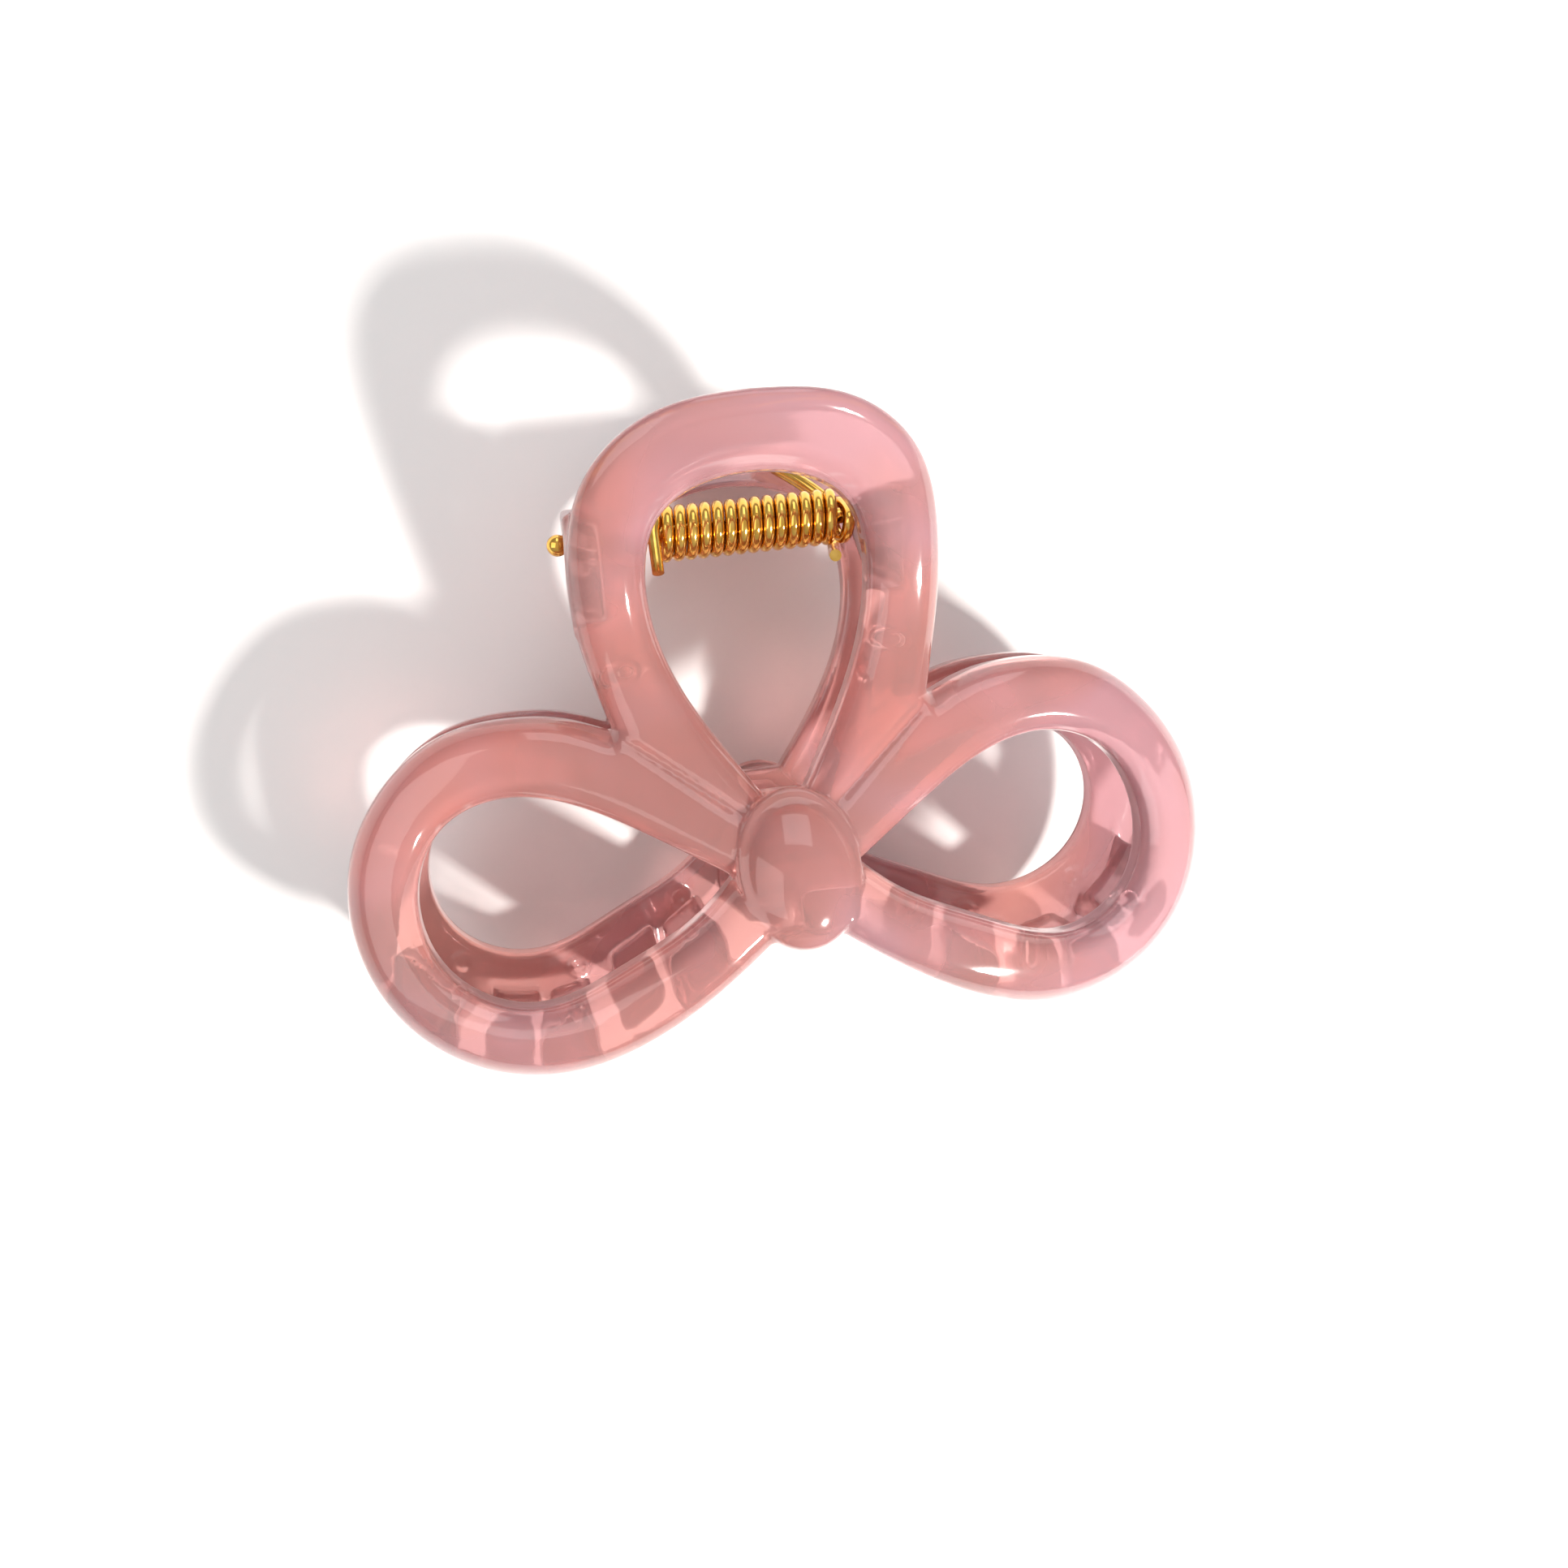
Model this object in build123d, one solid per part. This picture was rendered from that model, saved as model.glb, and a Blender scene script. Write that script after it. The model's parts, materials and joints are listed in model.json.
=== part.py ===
from build123d import *
from math import atan2, cos, degrees, radians, sin
import os

# Bow-shaped claw clip, in millimetres.
#
# Two identical mouldings are hinged on a pin. One lies on the surface, the other is turned over
# on top of it. Each is drawn in the clip's own frame: X along the hinge pin, Y towards the handle
# tip, and Z out of the clip from its middle plane, with the pin on the X axis.
# At the end the closed clip is laid on its lower half and moved to the middle of its footprint.

# ---- hinge, pin and spring ----
PIN_RADIUS = 1.0
PIN_CLEARANCE = 0.05
PIN_HEAD_RADIUS = 1.35
EAR_RADIUS = 4.2            # round end of a hinge ear, about the pin
EAR_THICKNESS = 3.8
EAR_GAP = 0.3               # between neighbouring ears, and between halves
EAR_STACK_END = 22.2        # outer face of the outer ears
EAR_FOOT_LOW = (-11.5, 7.5)     # where an ear's two edges run into the moulding (Y, Z)
EAR_FOOT_HIGH = (3.0, 11.5)
WIRE_RADIUS = 0.75
COIL_RADIUS = 2.8           # to the middle of the wire
COIL_TURNS = 14
COIL_PITCH = 1.57
COIL_START = -10.6
# Wire of the long leg, from the top of the coil's right end, folded back under the coil.
LONG_LEG = [
    (13.3, 2.2, -2.4), (12.5, 1.5, -3.9), (11.4, 2.9, -4.9), (9.4, 5.0, -6.8), (7.4, 6.7, -9.0),
    (5.2, 8.4, -11.0), (4.2, 9.1, -12.0), (5.6, 8.2, -12.8), (7.7, 6.5, -11.1), (9.8, 4.7, -9.2),
    (11.6, 2.4, -7.4), (12.2, -0.8, -6.0), (12.0, -3.6, -3.6), (11.4, -4.6, -0.8), (10.9, -4.6, 2.0),
    (10.5, -4.9, 5.2),
]

# ---- the moulding ----
THICKNESS = 6.6
HALF_WIDTH = 52.9
HANDLE_TOP = 14.2
# Outer face's height above the middle plane: powers of y / 50, then the wrap with (x / 50) squared.
FACE_POWERS = (15.2, 25.0, 40.0, -12.6, -20.2)
WRAP_LEVEL = 0.4
WRAP_SLOPE = 9.44

# Right half of the outline, from the top of the handle round to the foot under the knot.
HANDLE_EDGE = [(0, HANDLE_TOP), (10.9, 12.8), (19.6, 6.2), (22.3, -3.7), (21.7, -12.8), (19.2, -22.9)]
LOOP_EDGE = [
    (19.2, -22.9), (24.5, -20.8), (31.3, -19.9), (40, -21.2), (47.5, -26.6), (52.3, -35.2),
    (52.2, -45.3), (47.5, -54.4), (39.8, -60.1), (30.7, -61.7), (20.4, -58.8), (10.6, -53.2), (4.5, -48.9),
]
# Right half of the handle's window, and the whole window of the right loop.
HANDLE_WINDOW = [(0, 5.6), (6.1, 4.7), (11, 1.7), (13.3, -5.9), (11.4, -16.3), (6.8, -25.4), (2.7, -31.8)]
LOOP_WINDOW = [
    (7.5, -40.8), (16.7, -35.1), (25.6, -30.5), (33.3, -29.1), (40.7, -31.8), (44.5, -39.6),
    (41.6, -48.7), (32.7, -53), (21.2, -49.4), (11.9, -44.6), (7.5, -40.8),
]

# ---- knot: an oval dome on a low collar ----
KNOT_CENTRE_Y = -40.9
KNOT_SIZE = (7.0, 9.3, 4.2)         # semi-axes
KNOT_PROUD = 2.4                    # middle of its top, above the outer face
COLLAR_CENTRE_Y = -40.0
COLLAR_SIZE = (7.3, 9.6)            # semi-axes
COLLAR_DEPTH = 3.5
COLLAR_PROUD = 0.3
COLLAR_TILT = -20.0                 # a little flatter than the face under it

# ---- teeth ----
TOOTH_PITCH = 8.0
TOOTH_WIDTH = 5.8
TOOTH_FIRST = 3.5           # from the middle of the clip to the first tooth's middle
TOOTH_COUNT = 6             # on each half, counting both loops
TOOTH_TIP_GAP = 1.5         # between a tip and the other half's inner face
TOOTH_SPACE = 22.0          # more than any tooth reaches past the middle plane
TOOTH_TIP_ROUND = 2.4
TOOTH_INSET = 1.0           # a tooth's outer side, inside the outline, along Y
RIM_THICKNESS = 5.2         # a tooth's inner side, inside the outline, along Y

NODES = {}


def face_height(x, y):
    """Height of the moulding's outer face above the middle plane."""
    u = y / 50
    along = sum(power * u ** n for n, power in enumerate(FACE_POWERS))
    return along + (WRAP_LEVEL + WRAP_SLOPE * u) * (x / 50) ** 2


def mirrored(points):
    return [(-x, y) for x, y in reversed(points)]


def layer(top_drop, bottom):
    """Solid under the outer face, from top_drop below it down to the height that bottom gives."""
    sections = []
    for i in range(-3, 4):
        x = i * 18.5
        rows = [-66 + 10.3 * k for k in range(9)]
        upper = [(x, y, face_height(x, y) - top_drop) for y in rows]
        lower = [(x, y, bottom(x, y)) for y in reversed(rows)]
        edges = [Spline(*upper), Line(upper[-1], lower[0]), Spline(*lower), Line(lower[-1], upper[0])]
        sections.append(Face(Wire(edges)))
    return loft(sections)


def outline_face():
    """The moulding seen from the front, without its windows."""
    edges = [
        Spline(*(mirrored(HANDLE_EDGE)[:-1] + HANDLE_EDGE)), Spline(*LOOP_EDGE),
        Line(LOOP_EDGE[-1], mirrored(LOOP_EDGE)[0]), Spline(*mirrored(LOOP_EDGE)),
    ]
    return Face(Wire(edges))


def windows():
    """The handle's window and the two loops' windows, as cutters."""
    right = HANDLE_WINDOW
    left = mirrored(right)
    handle = Face(Wire([Spline(*(left[:-1] + right)), Line(right[-1], left[0])]))
    loop = Face(Wire([Spline(*LOOP_WINDOW)]))
    return [extrude(face, 60, dir=(0, 0, 1)) for face in (handle, loop, mirror(loop, Plane.YZ))]


def dome():
    """The knot: a flattened ball sunk into the outer face and tilted with it."""
    slope = degrees(atan2(face_height(0, KNOT_CENTRE_Y + 1) - face_height(0, KNOT_CENTRE_Y - 1), 2))
    centre_height = face_height(0, KNOT_CENTRE_Y) + KNOT_PROUD - KNOT_SIZE[2]
    return Pos(0, KNOT_CENTRE_Y, centre_height) * Rot(slope, 0, 0) * scale(Sphere(1), by=KNOT_SIZE)


def collar():
    """Oval plate round the knot."""
    top = face_height(0, COLLAR_CENTRE_Y) + COLLAR_PROUD
    plate = extrude(Ellipse(*COLLAR_SIZE), -COLLAR_DEPTH)
    return Pos(0, COLLAR_CENTRE_Y, top) * Rot(COLLAR_TILT, 0, 0) * plate


def ear(x_start):
    """Hinge ear from x_start: a plate with a round end about the pin."""
    outline = Circle(EAR_RADIUS).edges() + [Line(EAR_FOOT_LOW, EAR_FOOT_HIGH)]
    side = Plane(origin=(x_start, 0, 0), x_dir=(0, 1, 0), z_dir=(1, 0, 0))
    return extrude(side * make_hull(outline), EAR_THICKNESS)


def tooth_centres():
    """Tooth places, alternating so that the turned-over half's teeth fill the gaps."""
    first = TOOTH_FIRST - TOOTH_COUNT * TOOTH_PITCH
    return [first + 2 * TOOTH_PITCH * k for k in range(TOOTH_COUNT)]


def rim_y(x):
    """Place of the lower rim at x, along straight lines between the outline's points."""
    lower = LOOP_EDGE[::-1]
    for (x0, y0), (x1, y1) in zip(lower, lower[1:]):
        if abs(x) <= x1:
            return y0 + (y1 - y0) * (abs(x) - x0) / (x1 - x0)


def tooth_tip(x):
    """Height of a tooth's tip, just clear of the other half's inner face."""
    return THICKNESS + TOOTH_TIP_GAP - face_height(x, rim_y(x) + RIM_THICKNESS / 2)


def teeth():
    """Walls that run inwards from the lower rim, cut into round-tipped teeth."""
    outline = extrude(outline_face(), 60, dir=(0, 0, 1))
    rim = Pos(0, 0, -TOOTH_SPACE) * (Pos(0, TOOTH_INSET, 0) * outline - Pos(0, RIM_THICKNESS, 0) * outline)
    under_face = layer(THICKNESS / 2, lambda x, y: -TOOTH_SPACE)
    height = 50
    solids = []
    for x in tooth_centres():
        front = Plane(origin=(x, -70, tooth_tip(x) + height / 2), x_dir=(1, 0, 0), z_dir=(0, -1, 0))
        blank = extrude(front * RectangleRounded(TOOTH_WIDTH, height, TOOTH_TIP_ROUND), -27)
        solids += (blank & rim & under_face).solids()
    return solids


def moulding():
    """One half of the clip."""
    body = extrude(outline_face(), 60, dir=(0, 0, 1)) & layer(0, lambda x, y: face_height(x, y) - THICKNESS)
    for cutter in windows():
        body -= cutter
    body += [dome(), collar()]
    inner_ear = EAR_STACK_END - 2 * EAR_THICKNESS - EAR_GAP
    body += [ear(-EAR_STACK_END), ear(inner_ear)]
    body += teeth()
    bore = Rot(0, 90, 0) * Cylinder(PIN_RADIUS + PIN_CLEARANCE, 2 * HALF_WIDTH)
    return body - bore


def pin():
    """Straight rod with a ball head on the left and a domed end on the right."""
    left = -EAR_STACK_END - 0.2
    right = EAR_STACK_END + 0.4
    rod = Rot(0, 90, 0) * Pos(0, 0, (left + right) / 2) * Cylinder(PIN_RADIUS, right - left)
    head = Pos(left - 0.5, 0, 0) * Sphere(PIN_HEAD_RADIUS)
    head &= Pos(left - 5, 0, 0) * Box(10, 10, 10)
    return rod + head + Pos(right, 0, 0) * scale(Sphere(PIN_RADIUS), by=(0.4, 1, 1))


def wire(points):
    """Round wire through points, with a ball at each corner."""
    solid = None
    for start, end in zip(points, points[1:]):
        run = Vector(end) - Vector(start)
        bar = extrude(Plane(origin=start, z_dir=run) * Circle(WIRE_RADIUS), run.length)
        solid = bar if solid is None else solid + bar + Pos(*start) * Sphere(WIRE_RADIUS)
    return solid


def spring():
    """Torsion spring: close-wound turns as rings side by side, and its legs as straight wire."""
    inner = COIL_RADIUS - WIRE_RADIUS / 2
    length = COIL_TURNS * COIL_PITCH
    coil = Rot(0, 90, 0) * Pos(0, 0, COIL_START + length / 2) * Cylinder(COIL_RADIUS, length)
    for k in range(COIL_TURNS):
        x = COIL_START + (k + 0.5) * COIL_PITCH
        coil += Pos(x, 0, 0) * Rot(0, 90, 0) * Torus(COIL_RADIUS, WIRE_RADIUS)
    coil -= Rot(0, 90, 0) * Cylinder(inner, 60)
    coil += wire([(COIL_START + 0.4, 0, COIL_RADIUS), (COIL_START - 0.9, -5.0, 5.4)])
    last_turn = []
    for k in range(7):
        angle = radians(90 + 45 * k)
        place = (COIL_START + length - 0.3 + 0.4 * k, COIL_RADIUS * cos(angle), -COIL_RADIUS * sin(angle))
        last_turn.append(place)
    coil += wire(last_turn + LONG_LEG)
    return coil


def rest_tilt():
    """Angle that lays the handle tip and the lower loops on the same surface."""
    foot_x, foot_y = LOOP_EDGE[-2]
    rise = face_height(0, HANDLE_TOP) - face_height(foot_x, foot_y)
    return degrees(atan2(rise, HANDLE_TOP - foot_y))


half = moulding()
NODES["front_half"] = half
NODES["back_half"] = Rot(0, 180, 0) * half
NODES["hinge_pin"] = pin()
NODES["torsion_spring"] = spring()

laid = {name: Rot(rest_tilt(), 0, 0) * solid for name, solid in NODES.items()}
box = Compound(children=[Compound(solid.solids()) for solid in laid.values()]).bounding_box()
to_origin = Pos(-box.center().X, -box.center().Y, -box.min.Z)

os.makedirs("parts", exist_ok=True)
for name, solid in laid.items():
    export_step(to_origin * solid, f"parts/{name}.step")
hinge = to_origin * Pos(0, 0, 0)
print("tilt", round(rest_tilt(), 3), "hinge axis at", hinge.position)
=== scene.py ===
import json
import math

import bpy
import numpy as np
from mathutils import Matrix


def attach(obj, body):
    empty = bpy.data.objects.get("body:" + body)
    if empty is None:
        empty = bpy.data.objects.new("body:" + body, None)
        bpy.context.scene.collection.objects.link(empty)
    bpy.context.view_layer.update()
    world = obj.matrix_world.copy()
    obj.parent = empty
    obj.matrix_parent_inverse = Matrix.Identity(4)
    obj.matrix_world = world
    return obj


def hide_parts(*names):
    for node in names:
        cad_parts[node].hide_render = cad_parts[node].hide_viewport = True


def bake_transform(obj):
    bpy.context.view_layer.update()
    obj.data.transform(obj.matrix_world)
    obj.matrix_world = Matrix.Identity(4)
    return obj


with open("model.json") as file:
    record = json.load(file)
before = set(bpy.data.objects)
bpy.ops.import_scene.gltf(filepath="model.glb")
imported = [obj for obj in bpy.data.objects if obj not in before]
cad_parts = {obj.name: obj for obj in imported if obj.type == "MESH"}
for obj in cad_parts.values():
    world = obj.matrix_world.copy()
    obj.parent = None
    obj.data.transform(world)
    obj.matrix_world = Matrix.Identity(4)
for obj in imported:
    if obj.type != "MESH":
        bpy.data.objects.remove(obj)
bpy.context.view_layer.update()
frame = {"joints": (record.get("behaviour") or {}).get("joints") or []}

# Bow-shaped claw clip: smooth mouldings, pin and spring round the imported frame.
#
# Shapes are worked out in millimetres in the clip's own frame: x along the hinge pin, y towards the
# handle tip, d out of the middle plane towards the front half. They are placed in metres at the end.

import openvdb
from mathutils import Matrix, Vector

hinge = frame["joints"][0]

MM = 0.001
REST_TILT = math.radians(2.012)     # lays the closed clip on its handle tip and its lower loops
CLIP_TO_ROW = (
    Matrix.Translation(Vector(hinge["pos_m"])) @ Matrix.Rotation(REST_TILT, 4, "X") @ Matrix.Scale(MM, 4)
)
TURNED_OVER = Matrix.Rotation(math.pi, 4, "Y")

# ---- moulding: outline and face, as in the CAD model ----
FACE_POWERS = (15.2, 25.0, 40.0, -12.6, -20.2)
WRAP_LEVEL, WRAP_SLOPE = 0.4, 9.44
THICKNESS = 6.6
HANDLE_EDGE = [(0, 14.2), (10.9, 12.8), (19.6, 6.2), (22.3, -3.7), (21.7, -12.8), (19.2, -22.9)]
LOOP_EDGE = [
    (19.2, -22.9), (24.5, -20.8), (31.3, -19.9), (40, -21.2), (47.5, -26.6), (52.3, -35.2),
    (52.2, -45.3), (47.5, -54.4), (39.8, -60.1), (30.7, -61.7), (20.4, -58.8), (10.6, -53.2), (4.5, -48.9),
]
HANDLE_WINDOW = [(0, 5.6), (6.1, 4.7), (11, 1.7), (13.3, -5.9), (11.4, -16.3), (6.8, -25.4), (2.7, -31.8)]
LOOP_WINDOW = [
    (7.5, -40.8), (16.7, -35.1), (25.6, -30.5), (33.3, -29.1), (40.7, -31.8), (44.5, -39.6),
    (41.6, -48.7), (32.7, -53), (21.2, -49.4), (11.9, -44.6), (7.5, -40.8),
]
# The seam where the handle's band meets a loop's band runs from the outline's corner to the knot.
SEAM_KNOT_END = (6.5, -33.0)
SEAM_OVERLAP = 1.3      # each band reaches this far past the seam
SEAM_ROUND = 0.35       # between bands, and between the bands and the collar
HANDLE_UNDER_KNOT = (4.0, -41.0)                    # inside the knot, where the bands run together
LOOP_UNDER_KNOT = [(0.0, -47.5), (0.0, -33.5)]

# ---- cross-section of a band ----
CROWN = 0.5             # middle of the face above its shoulders
HALF_BAND = 4.6
SHOULDER_INSET = 1.6    # the face's edge lies this far inside the outline
WALL_DEPTH = 2.3        # the sloping wall meets the outline this far below the face
SHOULDER_ROUND = 0.8
WIDEST_ROUND = 0.8      # between the sloping wall and the upright one
BACK_ROUND = 0.9

# ---- knot and its collar ----
KNOT_CENTRE_Y = -40.9
KNOT_SIZE, KNOT_PROUD = (7.0, 9.3, 4.2), 2.4
KNOT_ROUND = 0.6        # between the knot and what it stands on
COLLAR_CENTRE_Y, COLLAR_SIZE = -40.0, (7.3, 9.6)
COLLAR_DEPTH, COLLAR_PROUD, COLLAR_TILT = 3.5, 0.15, math.radians(-20)
COLLAR_EDGE_ROUND = 0.7

# ---- hinge ears ----
EAR_RADIUS, EAR_THICKNESS, EAR_GAP, EAR_STACK_END = 4.2, 3.8, 0.3, 22.2
EAR_FOOT_LOW, EAR_FOOT_HIGH = (-11.5, 7.5), (3.0, 11.5)
EAR_ROUND = 0.9         # an ear's edges, and its foot
EAR_ARC_STEPS = 24
BORE_RADIUS, BORE_ROUND = 1.05, 0.25

# ---- teeth ----
TOOTH_PITCH, TOOTH_WIDTH, TOOTH_FIRST, TOOTH_COUNT = 8.0, 6.2, 3.5, 6
TOOTH_TIP_GAP, TOOTH_TIP_ROUND = 1.1, 1.8
TOOTH_INSET = 1.2       # a tooth's outer side, inside the outline
RIM_THICKNESS = 4.5     # a tooth's inner side, inside the outline
TOOTH_TAPER = 0.02      # thinning of a tooth for each mm towards its tip
TOOTH_ROOT_DEPTH = 2.5  # a tooth starts this far below the face
TEETH_BELOW_Y = -43.0
TOOTH_WALL_ROUND, TOOTH_EDGE_ROUND, TOOTH_FOOT_ROUND = 1.4, 1.0, 0.6

# Round marks that the mould's ejector pins left on the inner face: a low disc with a hollow in it.
EJECTOR_MARKS = [(12.4, -48.5), (27.0, -56.0), (42.0, -52.5), (16.7, -16.0)]
MARK_RADIUS, MARK_HOLLOW_RADIUS, MARK_HEIGHT = 1.7, 0.95, 0.3
MARK_STEEPNESS, MARK_HOLLOW_STEEPNESS = 4, 3

# ---- mesh ----
FIELD_LOW, FIELD_HIGH = (-55.0, -64.0, -16.5), (55.0, 16.0, 29.0)
VOXEL = 0.42
GRID_REACH = 4          # voxels on each side of the surface that keep their distance
PROBE = 0.04            # step that the field's slope is measured over
SETTLING_STEPS = 3      # moves of each point onto the surface
LEAST_SLOPE = 0.05
EDGE_STEPS = 12         # straight steps for each stretch of an outline


def face_height(x, y):
    """Height of the outer face above the middle plane."""
    u = y / 50
    along = sum(power * u ** n for n, power in enumerate(FACE_POWERS))
    return along + (WRAP_LEVEL + WRAP_SLOPE * u) * (x / 50) ** 2


def face_steepness(x, y):
    """Cosine of the face's slope, which turns a height into a distance from the face."""
    step = 0.5
    dx = (face_height(x + step, y) - face_height(x - step, y)) / (2 * step)
    dy = (face_height(x, y + step) - face_height(x, y - step)) / (2 * step)
    return 1 / np.sqrt(1 + dx * dx + dy * dy)


# ---------------------------------------------------------------- curves and distances
def spline(points, steps=EDGE_STEPS):
    """Points along a natural cubic spline through the given points."""
    p = np.array(points, float)
    t = np.concatenate([[0], np.cumsum(np.linalg.norm(np.diff(p, axis=0), axis=1))])
    n = len(p)
    h = np.diff(t)
    system, right = np.eye(n), np.zeros((n, p.shape[1]))
    for i in range(1, n - 1):
        system[i, i - 1:i + 2] = h[i - 1], 2 * (h[i - 1] + h[i]), h[i]
        right[i] = 6 * ((p[i + 1] - p[i]) / h[i] - (p[i] - p[i - 1]) / h[i - 1])
    m = np.linalg.solve(system, right)
    out = []
    for i in range(n - 1):
        for s in np.arange(steps) / steps * h[i]:
            r = h[i] - s
            out.append((m[i] * r ** 3 + m[i + 1] * s ** 3) / (6 * h[i])
                       + (p[i] / h[i] - m[i] * h[i] / 6) * r + (p[i + 1] / h[i] - m[i + 1] * h[i] / 6) * s)
    out.append(p[-1])
    return [tuple(q) for q in out]


def mirrored(points):
    return [(-x, y) for x, y in reversed(points)]


def inside_distance(polygon, x, y):
    """Distance from a closed polygon's edge at each grid point, positive inside."""
    nearest = np.full(x.shape, 1e9)
    inside = np.zeros(x.shape, bool)
    for (ax, ay), (bx, by) in zip(polygon, polygon[1:] + polygon[:1]):
        ex, ey = bx - ax, by - ay
        length = ex * ex + ey * ey
        if length < 1e-12:
            continue
        t = np.clip(((x - ax) * ex + (y - ay) * ey) / length, 0, 1)
        nearest = np.minimum(nearest, (x - ax - t * ex) ** 2 + (y - ay - t * ey) ** 2)
        if ay != by:
            crosses = (ay > y) != (by > y)
            inside ^= crosses & (x < ax + (y - ay) * ex / ey)
    return np.where(inside, 1, -1) * np.sqrt(nearest)


def smooth_max(a, b, k):
    return np.maximum(a, b) + np.maximum(k - np.abs(a - b), 0) ** 2 / (4 * k)


def smooth_min(a, b, k):
    return -smooth_max(-a, -b, k)


# ---------------------------------------------------------------- the moulding as a distance field
class Plan:
    """Distances in the clip's plane, kept on a fine grid and read back between its points."""
    STEP = 0.25
    LOW = (-57.0, -66.0)
    HIGH = (57.0, 19.0)

    def __init__(self):
        xs = np.arange(self.LOW[0], self.HIGH[0], self.STEP)
        ys = np.arange(self.LOW[1], self.HIGH[1], self.STEP)
        x, y = np.meshgrid(xs, ys, indexing="ij")
        corner, knot_end = np.array(LOOP_EDGE[0]), np.array(SEAM_KNOT_END)
        along = knot_end - corner
        side = np.array([-along[1], along[0]]) / np.linalg.norm(along) * SEAM_OVERLAP
        under_seam = [tuple(corner + side), tuple(knot_end + side)]
        handle_right = spline(HANDLE_EDGE) + under_seam + [HANDLE_UNDER_KNOT]
        handle = mirrored(handle_right) + handle_right[1:]
        loop = [tuple(corner - side)] + spline(LOOP_EDGE)[1:] + LOOP_UNDER_KNOT + [tuple(knot_end - side)]
        outline = spline(mirrored(HANDLE_EDGE)[:-1] + HANDLE_EDGE) + spline(LOOP_EDGE)[1:]
        outline += spline(mirrored(LOOP_EDGE))[:-1]
        window = spline(mirrored(HANDLE_WINDOW)[:-1] + HANDLE_WINDOW)
        loop_window = spline(LOOP_WINDOW)[:-1]
        around_window = -inside_distance(window, x, y)
        around_loop_window = -inside_distance(loop_window, x, y)
        self.fields = {
            "handle": np.minimum(inside_distance(handle, x, y), around_window),
            "loop": np.minimum(inside_distance(loop, x, y), around_loop_window),
            "outline": inside_distance(outline, x, y),
        }

    def read(self, name, x, y):
        """Bilinear reading of a field."""
        grid = self.fields[name]
        u = np.clip((x - self.LOW[0]) / self.STEP, 0, grid.shape[0] - 1.001)
        v = np.clip((y - self.LOW[1]) / self.STEP, 0, grid.shape[1] - 1.001)
        i, j = u.astype(int), v.astype(int)
        u, v = u - i, v - j
        low = grid[i, j] * (1 - u) + grid[i + 1, j] * u
        high = grid[i, j + 1] * (1 - u) + grid[i + 1, j + 1] * u
        return low * (1 - v) + high * v


PLAN = Plan()


def band(inset, below, steep, thickness):
    """A band's distance field from the distance inside its outline and the depth below the face."""
    crown = CROWN * np.clip(1 - inset / HALF_BAND, 0, 1) ** 2
    top = (crown - below) * steep
    slope = math.hypot(SHOULDER_INSET, WALL_DEPTH - CROWN)
    wall = -(inset * (WALL_DEPTH - CROWN) + (below - WALL_DEPTH) * SHOULDER_INSET) / slope
    under = (below - thickness) * steep
    shape = smooth_max(top, wall, SHOULDER_ROUND)
    shape = smooth_max(shape, -inset, WIDEST_ROUND)
    return smooth_max(shape, under, BACK_ROUND)


def turned(y, d, centre_y, centre_d, angle):
    """Coordinates along and out of a plate that is tilted about x at its centre."""
    v, w = y - centre_y, d - centre_d
    return v * math.cos(angle) + w * math.sin(angle), w * math.cos(angle) - v * math.sin(angle)


def dome(x, y, d):
    """The knot: a flattened ball sunk into the face and tilted with it."""
    slope = math.atan2(face_height(0, KNOT_CENTRE_Y + 1) - face_height(0, KNOT_CENTRE_Y - 1), 2)
    centre_d = face_height(0, KNOT_CENTRE_Y) + KNOT_PROUD - KNOT_SIZE[2]
    v, w = turned(y, d, KNOT_CENTRE_Y, centre_d, slope)
    a, b, c = KNOT_SIZE
    scaled = np.sqrt((x / a) ** 2 + (v / b) ** 2 + (w / c) ** 2)
    spread = np.sqrt((x / a ** 2) ** 2 + (v / b ** 2) ** 2 + (w / c ** 2) ** 2)
    return scaled * (scaled - 1) / np.maximum(spread, 1e-6)


def collar(x, y, d):
    """Oval plate round the knot."""
    v, w = turned(y, d, COLLAR_CENTRE_Y, face_height(0, COLLAR_CENTRE_Y) + COLLAR_PROUD, COLLAR_TILT)
    a, b = COLLAR_SIZE
    scaled = np.sqrt((x / a) ** 2 + (v / b) ** 2)
    spread = np.sqrt((x / a ** 2) ** 2 + (v / b ** 2) ** 2)
    side = scaled * (scaled - 1) / np.maximum(spread, 1e-6)
    return smooth_max(side, np.abs(w + COLLAR_DEPTH / 2) - COLLAR_DEPTH / 2, COLLAR_EDGE_ROUND)


def ear_outline():
    """Closed outline of a hinge ear in the y-d plane: a round end and two straight edges."""
    def tangent_angle(foot, turn):
        away = math.atan2(foot[1], foot[0])
        return away + turn * math.acos(EAR_RADIUS / math.hypot(*foot))
    first, last = tangent_angle(EAR_FOOT_LOW, 1), tangent_angle(EAR_FOOT_HIGH, -1) + 2 * math.pi
    angles = [first + (last - first) * k / EAR_ARC_STEPS for k in range(EAR_ARC_STEPS + 1)]
    arc = [(EAR_RADIUS * math.cos(a), EAR_RADIUS * math.sin(a)) for a in angles]
    return [EAR_FOOT_LOW] + arc + [EAR_FOOT_HIGH]


EAR_OUTLINE = ear_outline()


def ears(x, y, d):
    """Two hinge ears: the outer one on the left and the inner one on the right."""
    side = -inside_distance(EAR_OUTLINE, y, d)
    inner_start = EAR_STACK_END - 2 * EAR_THICKNESS - EAR_GAP
    starts = (-EAR_STACK_END, inner_start)
    shapes = [np.abs(x - start - EAR_THICKNESS / 2) - EAR_THICKNESS / 2 for start in starts]
    return smooth_max(side, np.minimum(*shapes), EAR_ROUND)


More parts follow.
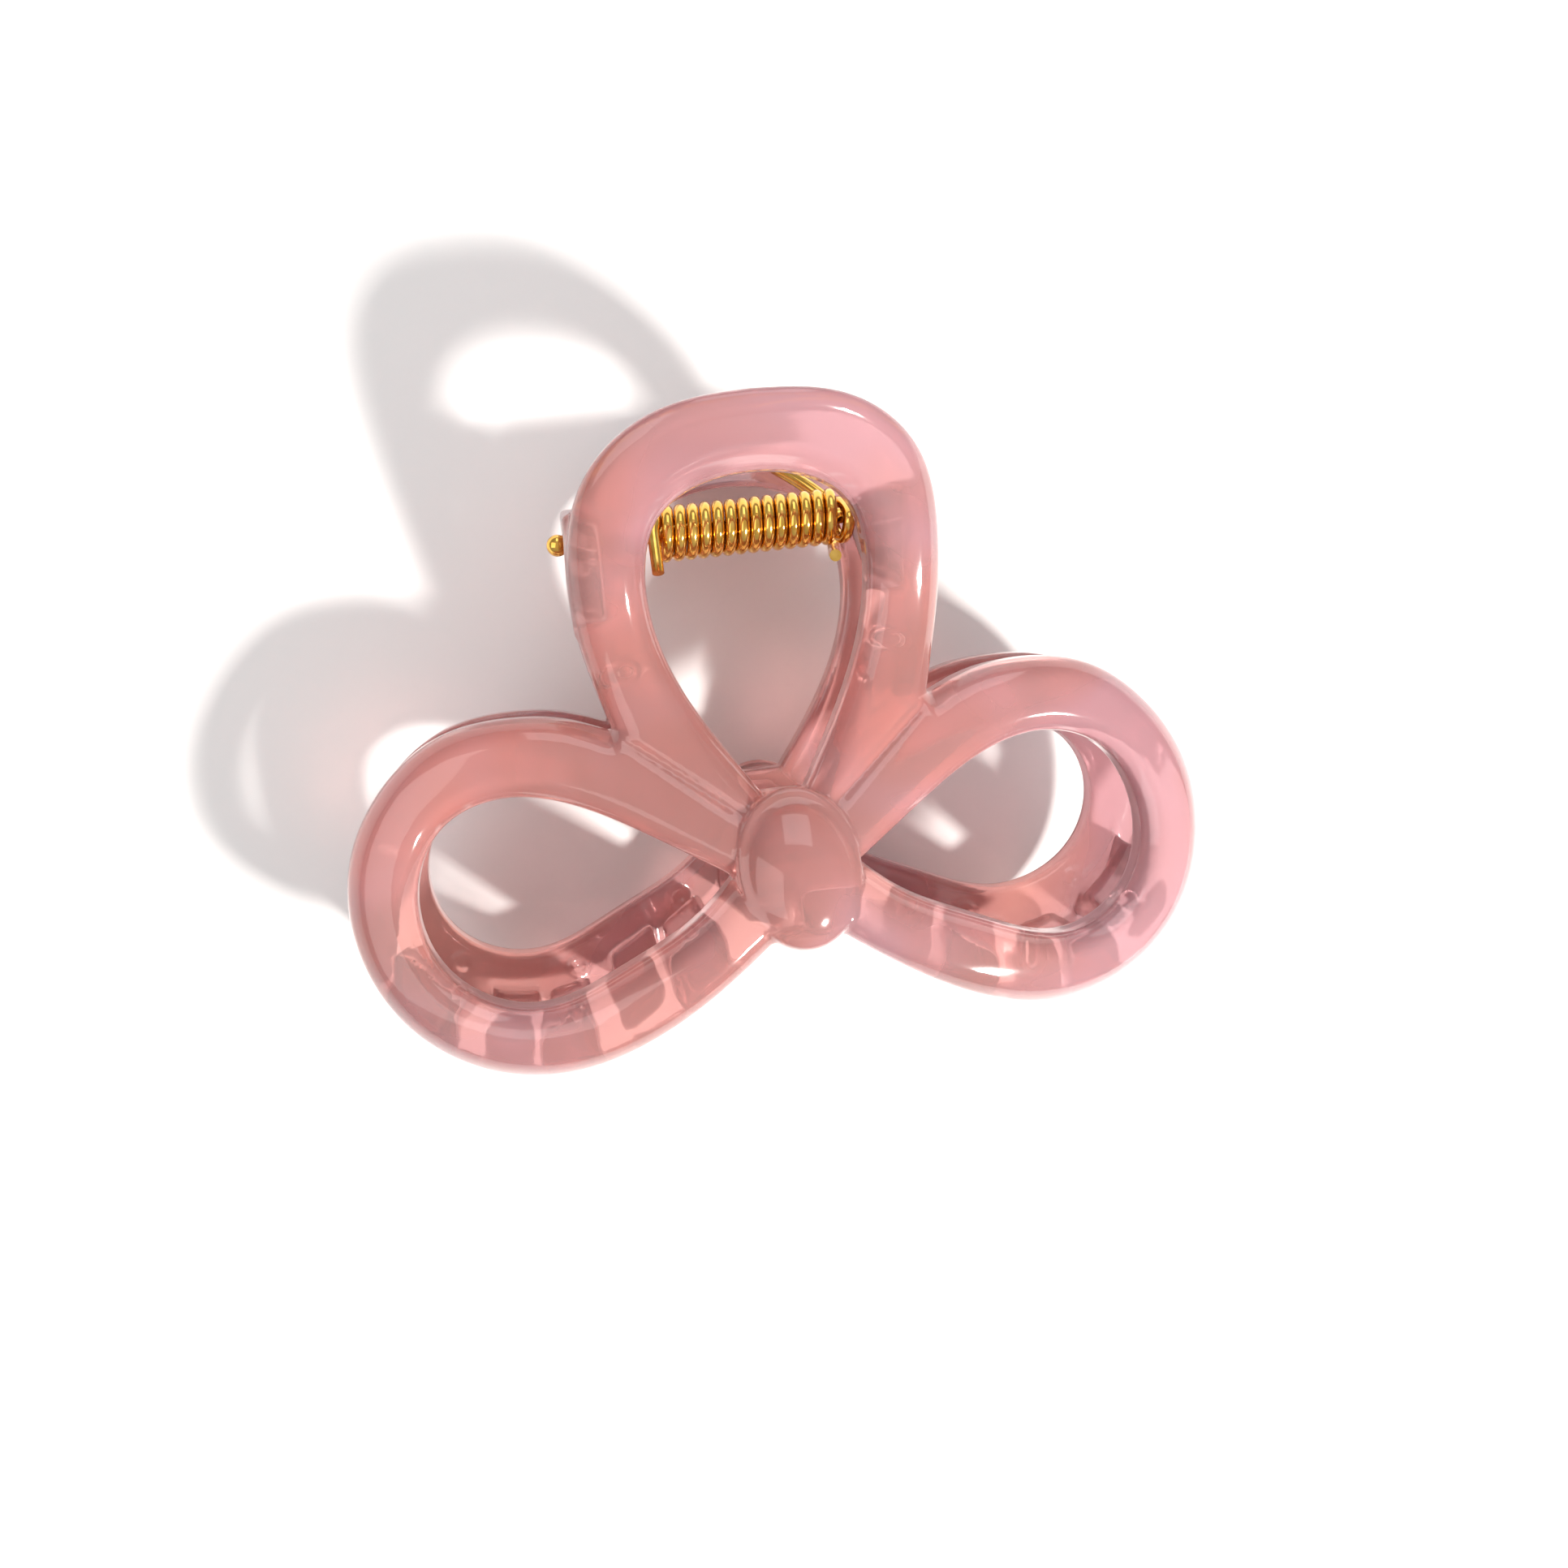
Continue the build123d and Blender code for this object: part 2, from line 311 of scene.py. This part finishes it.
def tooth_centres():
    """Tooth places, alternating so that the turned-over half's teeth fill the gaps."""
    first = TOOTH_FIRST - TOOTH_COUNT * TOOTH_PITCH
    return [first + 2 * TOOTH_PITCH * k for k in range(TOOTH_COUNT)]


def tooth_tip(x):
    """Height of a tooth's tip, just clear of the other half's inner face."""
    lower = np.array(LOOP_EDGE[:5:-1])
    rim_y = np.interp(abs(x), lower[:, 0], lower[:, 1])
    return THICKNESS + TOOTH_TIP_GAP - face_height(x, rim_y + RIM_THICKNESS / 2)


def teeth(x, y, d, outline, below):
    """Teeth that run inwards from the lower rim and thin out towards their rounded tips."""
    reach = np.maximum(below - THICKNESS, 0)
    comb = np.full(np.broadcast(x, y, d).shape, 1e9)
    for centre in tooth_centres():
        across = np.abs(x - centre) - TOOTH_WIDTH / 2 + reach * TOOTH_TAPER / 2 + TOOTH_TIP_ROUND
        tip = tooth_tip(centre) - d + TOOTH_TIP_ROUND
        corner = np.hypot(np.maximum(across, 0), np.maximum(tip, 0))
        comb = np.minimum(comb, corner + np.minimum(np.maximum(across, tip), 0) - TOOTH_TIP_ROUND)
    outer_side = TOOTH_INSET + reach * TOOTH_TAPER - outline
    inner_side = outline - RIM_THICKNESS + reach * TOOTH_TAPER
    wall = smooth_max(outer_side, inner_side, TOOTH_WALL_ROUND)
    wall = np.maximum(wall, y - TEETH_BELOW_Y)
    wall = smooth_max(wall, comb, TOOTH_EDGE_ROUND)
    return np.maximum(wall, TOOTH_ROOT_DEPTH - below)


def ejector_marks(x, y):
    """Height of the ejector marks above the inner face, negative in their hollows."""
    height = 0
    for mark_x, mark_y in EJECTOR_MARKS:
        reach = np.hypot(np.abs(x) - mark_x, y - mark_y)
        height = height + MARK_HEIGHT * np.clip((MARK_RADIUS - reach) * MARK_STEEPNESS, 0, 1)
        hollow = np.clip((MARK_HOLLOW_RADIUS - reach) * MARK_HOLLOW_STEEPNESS, 0, 1)
        height = height - 2 * MARK_HEIGHT * hollow
    return height


def moulding(x, y, d):
    """Distance field of one half of the clip, negative inside."""
    below = face_height(x, y) - d
    steep = face_steepness(x, y)
    loops = np.where(x > 0, PLAN.read("loop", x, y), PLAN.read("loop", -x, y))
    thickness = THICKNESS + ejector_marks(x, y)
    handle = band(PLAN.read("handle", x, y), below, steep, thickness)
    shape = smooth_min(handle, band(loops, below, steep, thickness), SEAM_ROUND)
    shape = smooth_min(shape, collar(x, y, d), SEAM_ROUND)
    shape = smooth_min(shape, dome(x, y, d), KNOT_ROUND)
    shape = smooth_min(shape, teeth(x, y, d, PLAN.read("outline", x, y), below), TOOTH_FOOT_ROUND)
    shape = smooth_min(shape, ears(x, y, d), EAR_ROUND)
    return smooth_max(shape, BORE_RADIUS - np.hypot(y, d), BORE_ROUND)


def mesh_of_field(field, low, high, voxel):
    """Points and quads of the field's zero surface, each point moved onto the surface."""
    axes = [np.arange(a, b, voxel) for a, b in zip(low, high)]
    x, y = np.meshgrid(axes[0], axes[1], indexing="ij")
    values = np.empty([len(a) for a in axes], np.float32)
    for k, d in enumerate(axes[2]):
        values[:, :, k] = field(x, y, np.full_like(x, d))
    limit = GRID_REACH * voxel
    grid = openvdb.FloatGrid(limit)
    grid.copyFromArray(np.clip(values, -limit, limit))
    points, quads = grid.convertToQuads(0.0)
    points = points.astype(float) * voxel + np.array([a[0] for a in axes])
    for _ in range(SETTLING_STEPS):
        value = field(*points.T)
        slope = np.stack([
            (field(*(points + move).T) - field(*(points - move).T)) / (2 * PROBE)
            for move in np.eye(3) * PROBE
        ], axis=1)
        length = np.maximum((slope ** 2).sum(axis=1), LEAST_SLOPE)
        points -= np.clip(value / length, -voxel, voxel)[:, None] * slope
    return points, quads.astype(np.int64)


def new_mesh(name, points, faces):
    """Smooth-shaded object from arrays, its faces turned outwards."""
    mesh = bpy.data.meshes.new(name)
    size = faces.shape[1]
    a, b, c = (points[faces[:, k]] for k in range(3))
    if np.einsum("ij,ij->i", a, np.cross(b, c)).sum() < 0:
        faces = faces[:, ::-1]
    mesh.vertices.add(len(points))
    mesh.vertices.foreach_set("co", points.astype(np.float32).ravel())
    mesh.loops.add(faces.size)
    mesh.loops.foreach_set("vertex_index", faces.astype(np.int32).ravel())
    mesh.polygons.add(len(faces))
    mesh.polygons.foreach_set("loop_start", np.arange(0, faces.size, size, dtype=np.int32))
    mesh.update(calc_edges=True)
    mesh.validate()
    mesh.polygons.foreach_set("use_smooth", np.ones(len(mesh.polygons), bool))
    obj = bpy.data.objects.new(name, mesh)
    bpy.context.scene.collection.objects.link(obj)
    return obj


def make_halves(material):
    """Both halves are the same moulding; the back one is turned over."""
    points, quads = mesh_of_field(moulding, FIELD_LOW, FIELD_HIGH, VOXEL)
    for name, node, body, turn in (
        ("front_half_moulding", "front_half", "front_jaw", Matrix.Identity(4)),
        ("back_half_moulding", "back_half", "back_jaw", TURNED_OVER),
    ):
        half = new_mesh(name, points, quads)
        half.data.transform(CLIP_TO_ROW @ turn)
        half.data.materials.append(material)
        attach(half, body)
        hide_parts(node)


# ---------------------------------------------------------------- pin and spring
PIN_RADIUS, PIN_HEAD_RADIUS = 1.0, 1.35
PIN_LEFT, PIN_RIGHT = -EAR_STACK_END - 0.2, EAR_STACK_END + 0.4
PIN_HEAD_OFFSET = 0.5       # from the rod's left end to the ball's middle
PIN_HEAD_ARC = math.radians(132)
PIN_END_DOME = 0.4
PIN_AROUND = 48
WIRE_RADIUS, COIL_RADIUS = 0.75, 2.8
COIL_TURNS, COIL_PITCH, COIL_START = 14, 1.57, -10.9
COIL_FIRST_ANGLE = math.radians(64)
COIL_STEPS = 24             # points for each turn
SHORT_LEG = (6.6, 4.4, 2.2, 0.6)    # points along it, as distances from the coil
SHORT_LEG_ASIDE, SHORT_LEG_SLANT = 0.35, 0.02
LAST_TURN_SPREAD, LAST_TURN_EASE = 2.4, 1.2     # the last turn opens out along x
# Wire of the long leg, from the top of the coil's right end, folded back under the coil.
LONG_LEG = [
    (13.3, 2.2, -2.4), (12.5, 1.5, -3.9), (11.4, 2.9, -4.9), (9.4, 5.0, -6.8), (7.4, 6.7, -9.0),
    (5.2, 8.4, -11.0), (4.2, 9.1, -12.0), (5.6, 8.2, -12.8), (7.7, 6.5, -11.1), (9.8, 4.7, -9.2),
    (11.6, 2.4, -7.4), (12.2, -0.8, -6.0), (12.0, -3.6, -3.6), (11.4, -4.6, -0.8), (10.9, -4.6, 2.0),
    (10.5, -4.9, 5.2),
]


def make_pin(material):
    """Turned rod with a ball head on the left and a domed right end."""
    head_angles = np.linspace(0, PIN_HEAD_ARC, 14)
    head_x = PIN_LEFT - PIN_HEAD_OFFSET
    head = [(head_x - PIN_HEAD_RADIUS * math.cos(a), PIN_HEAD_RADIUS * math.sin(a)) for a in head_angles]
    rod = [(x, PIN_RADIUS) for x in np.linspace(PIN_LEFT + 0.5, PIN_RIGHT - 0.5, 12)]
    end_angles = np.linspace(0, math.pi / 2, 8)
    end = [(PIN_RIGHT + PIN_END_DOME * math.sin(a), PIN_RADIUS * math.cos(a)) for a in end_angles]
    profile = head + rod + end
    turn = [2 * math.pi * k / PIN_AROUND for k in range(PIN_AROUND)]
    points = np.array([(x, r * math.cos(a), r * math.sin(a)) for x, r in profile for a in turn])
    faces = []
    for row in range(len(profile) - 1):
        this, following = row * PIN_AROUND, (row + 1) * PIN_AROUND
        for k in range(PIN_AROUND):
            beside = (k + 1) % PIN_AROUND
            faces.append((this + k, this + beside, following + beside, following + k))
    pin = new_mesh("hinge_pin_rod", points, np.array(faces))
    pin.data.transform(CLIP_TO_ROW)
    pin.data.materials.append(material)
    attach(pin, "back_jaw")
    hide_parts("hinge_pin")


def spring_path():
    """Centre line of the spring wire, from the cut end on the front half to the one by the coil."""
    leave = np.array([math.sin(COIL_FIRST_ANGLE), -math.cos(COIL_FIRST_ANGLE)])
    start = np.array([COIL_RADIUS * math.cos(COIL_FIRST_ANGLE), COIL_RADIUS * math.sin(COIL_FIRST_ANGLE)])
    route = [(COIL_START - SHORT_LEG_ASIDE - SHORT_LEG_SLANT * s, *(start - leave * s)) for s in SHORT_LEG]

    def add_point(x, k):
        angle = COIL_FIRST_ANGLE - 2 * math.pi * k / COIL_STEPS
        route.append((x, COIL_RADIUS * math.cos(angle), COIL_RADIUS * math.sin(angle)))

    for k in range(COIL_TURNS * COIL_STEPS + 1):
        add_point(COIL_START + COIL_PITCH * k / COIL_STEPS, k)
    coil_end = route[-1][0]
    for k in range(1, COIL_STEPS - 1):
        add_point(coil_end + LAST_TURN_SPREAD * (k / COIL_STEPS) ** LAST_TURN_EASE, k)
    return route + LONG_LEG


def make_spring(material):
    """One wire with cut ends: a short leg on the front half, the coil, and a long leg on the back half."""
    curve = bpy.data.curves.new("spring_wire_line", "CURVE")
    curve.dimensions = "3D"
    route = spring_path()
    line = curve.splines.new("NURBS")
    line.points.add(len(route) - 1)
    for point, place in zip(line.points, route):
        point.co = (*place, 1)
    line.order_u = 4
    line.use_endpoint_u = True
    line.resolution_u = 3
    curve.bevel_depth = WIRE_RADIUS
    curve.bevel_resolution = 5
    curve.use_fill_caps = True
    line_object = bpy.data.objects.new("spring_wire_line", curve)
    bpy.context.scene.collection.objects.link(line_object)
    evaluated = line_object.evaluated_get(bpy.context.evaluated_depsgraph_get())
    mesh = bpy.data.meshes.new_from_object(evaluated)
    bpy.data.objects.remove(line_object)
    wire = bpy.data.objects.new("spring_wire", mesh)
    bpy.context.scene.collection.objects.link(wire)
    mesh.transform(CLIP_TO_ROW)
    mesh.materials.clear()
    mesh.materials.append(material)
    mesh.polygons.foreach_set("use_smooth", np.ones(len(mesh.polygons), bool))
    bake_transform(wire)
    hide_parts("torsion_spring")


# ---------------------------------------------------------------- materials
def new_material(name):
    """Empty material with a Principled shader."""
    material = bpy.data.materials.new(name)
    material.use_nodes = True
    nodes, links = material.node_tree.nodes, material.node_tree.links
    nodes.clear()
    output = nodes.new("ShaderNodeOutputMaterial")
    shader = nodes.new("ShaderNodeBsdfPrincipled")
    links.new(shader.outputs["BSDF"], output.inputs["Surface"])
    return material, nodes, links, shader


def noise(nodes, links, scale, detail, stretch=(1, 1, 1)):
    """Noise over the object's own coordinates."""
    place = nodes.new("ShaderNodeTexCoord")
    mapping = nodes.new("ShaderNodeMapping")
    mapping.inputs["Scale"].default_value = stretch
    texture = nodes.new("ShaderNodeTexNoise")
    texture.inputs["Scale"].default_value = scale
    texture.inputs["Detail"].default_value = detail
    links.new(place.outputs["Object"], mapping.inputs["Vector"])
    links.new(mapping.outputs["Vector"], texture.inputs["Vector"])
    return texture


def ramp(nodes, links, source, stops):
    """Colour ramp, with its stops as pairs of position and colour."""
    node = nodes.new("ShaderNodeValToRGB")
    node.color_ramp.elements[0].position, node.color_ramp.elements[0].color = stops[0]
    node.color_ramp.elements[1].position, node.color_ramp.elements[1].color = stops[-1]
    for position, color in stops[1:-1]:
        node.color_ramp.elements.new(position).color = color
    links.new(source, node.inputs["Fac"])
    return node


def grey(level):
    return (level, level, level, 1)


def pink_plastic():
    """Milky translucent pink with lavender clouds, deeper where it is thicker, and a polished skin."""
    material, nodes, links, shader = new_material("pink_translucent_plastic")
    clouds = noise(nodes, links, 34, 2.0, (1, 1, 0.5))
    clouds.inputs["Distortion"].default_value = 0.8
    tint = ramp(nodes, links, clouds.outputs["Fac"], [
        (0.30, (0.72, 0.37, 0.32, 1)), (0.50, (0.66, 0.34, 0.32, 1)), (0.68, (0.60, 0.34, 0.37, 1)),
    ])
    links.new(tint.outputs["Color"], shader.inputs["Base Color"])
    clearness = ramp(nodes, links, clouds.outputs["Fac"], [(0.30, grey(0.76)), (0.70, grey(0.58))])
    links.new(clearness.outputs["Color"], shader.inputs["Transmission Weight"])
    shader.inputs["Roughness"].default_value = 0.10
    shader.inputs["IOR"].default_value = 1.45
    shader.inputs["Coat Weight"].default_value = 0.5
    shader.inputs["Coat Roughness"].default_value = 0.03
    ripple = noise(nodes, links, 90, 1.5)
    bump = nodes.new("ShaderNodeBump")
    bump.inputs["Strength"].default_value = 0.08
    bump.inputs["Distance"].default_value = 0.0004
    links.new(ripple.outputs["Fac"], bump.inputs["Height"])
    links.new(bump.outputs["Normal"], shader.inputs["Normal"])
    depth = nodes.new("ShaderNodeVolumeAbsorption")
    depth.inputs["Color"].default_value = (0.95, 0.60, 0.58, 1)
    depth.inputs["Density"].default_value = 32.0
    output = next(node for node in nodes if node.bl_idname == "ShaderNodeOutputMaterial")
    links.new(depth.outputs["Volume"], output.inputs["Volume"])
    return material


def gold_metal():
    """Bright gold plating with faint drawing marks."""
    material, nodes, links, shader = new_material("gold_plating")
    wear = noise(nodes, links, 700, 3)
    tone = ramp(nodes, links, wear.outputs["Fac"], [
        (0.35, (0.78, 0.43, 0.08, 1)), (0.65, (0.90, 0.56, 0.14, 1)),
    ])
    links.new(tone.outputs["Color"], shader.inputs["Base Color"])
    shader.inputs["Metallic"].default_value = 1.0
    rough = ramp(nodes, links, wear.outputs["Fac"], [(0.3, grey(0.07)), (0.7, grey(0.17))])
    links.new(rough.outputs["Color"], shader.inputs["Roughness"])
    return material


# ---------------------------------------------------------------- floor, lights and camera
FLOOR_HALF_SIZE = 1.5
LIGHT_TARGET = Vector((0, 0, 0.02))


def make_floor():
    mesh = bpy.data.meshes.new("floor")
    size = FLOOR_HALF_SIZE
    corners = [(-size, -size, 0), (size, -size, 0), (size, size, 0), (-size, size, 0)]
    mesh.from_pydata(corners, [], [(0, 1, 2, 3)])
    floor = bpy.data.objects.new("floor", mesh)
    bpy.context.scene.collection.objects.link(floor)
    material, _, _, shader = new_material("pale_floor")
    shader.inputs["Base Color"].default_value = (0.86, 0.85, 0.84, 1)
    shader.inputs["Roughness"].default_value = 0.7
    mesh.materials.append(material)


def area_light(name, place, power, size, color=(1, 1, 1)):
    light = bpy.data.lights.new(name, "AREA")
    light.energy, light.size, light.color = power, size, color
    lamp = bpy.data.objects.new(name, light)
    bpy.context.scene.collection.objects.link(lamp)
    lamp.location = place
    lamp.rotation_euler = (LIGHT_TARGET - Vector(place)).to_track_quat("-Z", "Y").to_euler()


def make_lights():
    area_light("key", (0.34, -0.31, 0.56), 9, 0.08, (1.0, 0.96, 0.92))
    area_light("fill", (-0.5, 0.1, 0.5), 1.5, 0.6)
    area_light("rim", (0.1, 0.6, 0.35), 0.8, 0.4, (0.95, 0.97, 1.0))
    world = bpy.data.worlds.new("studio")
    bpy.context.scene.world = world
    world.use_nodes = True
    nodes, links = world.node_tree.nodes, world.node_tree.links
    direction = nodes.new("ShaderNodeTexCoord")
    upwards = nodes.new("ShaderNodeSeparateXYZ")
    links.new(direction.outputs["Generated"], upwards.inputs["Vector"])
    dome_light = ramp(nodes, links, upwards.outputs["Z"], [
        (0.0, (0.62, 0.62, 0.63, 1)), (0.35, (0.50, 0.50, 0.51, 1)), (0.9, (0.85, 0.85, 0.85, 1)),
    ])
    links.new(dome_light.outputs["Color"], nodes["Background"].inputs["Color"])
    nodes["Background"].inputs["Strength"].default_value = 0.75
    bpy.context.scene.view_settings.view_transform = "Standard"


# Camera in the clip's own frame, looking down on the front half from a little left of it.
CAMERA_PLACE = Vector((-25.0, -5.5, 198.7))
CAMERA_FORWARD = Vector((0.1321, -0.1353, -0.9820))
CAMERA_UP = Vector((0.1272, 0.9848, -0.1186))
FIELD_OF_VIEW = math.radians(52.6)


def make_camera():
    data = bpy.data.cameras.new("camera")
    data.angle = FIELD_OF_VIEW
    data.clip_start = 0.01
    camera = bpy.data.objects.new("camera", data)
    bpy.context.scene.collection.objects.link(camera)
    turn = CLIP_TO_ROW.to_3x3()
    back = -(turn @ CAMERA_FORWARD).normalized()
    right = (turn @ CAMERA_UP).cross(back).normalized()
    camera.matrix_world = Matrix.Translation(CLIP_TO_ROW @ CAMERA_PLACE) @ Matrix(
        (right, back.cross(right), back)).transposed().to_4x4()
    bpy.context.scene.camera = camera


plastic, gold = pink_plastic(), gold_metal()
make_halves(plastic)
make_pin(gold)
make_spring(gold)
make_floor()
make_lights()
make_camera()
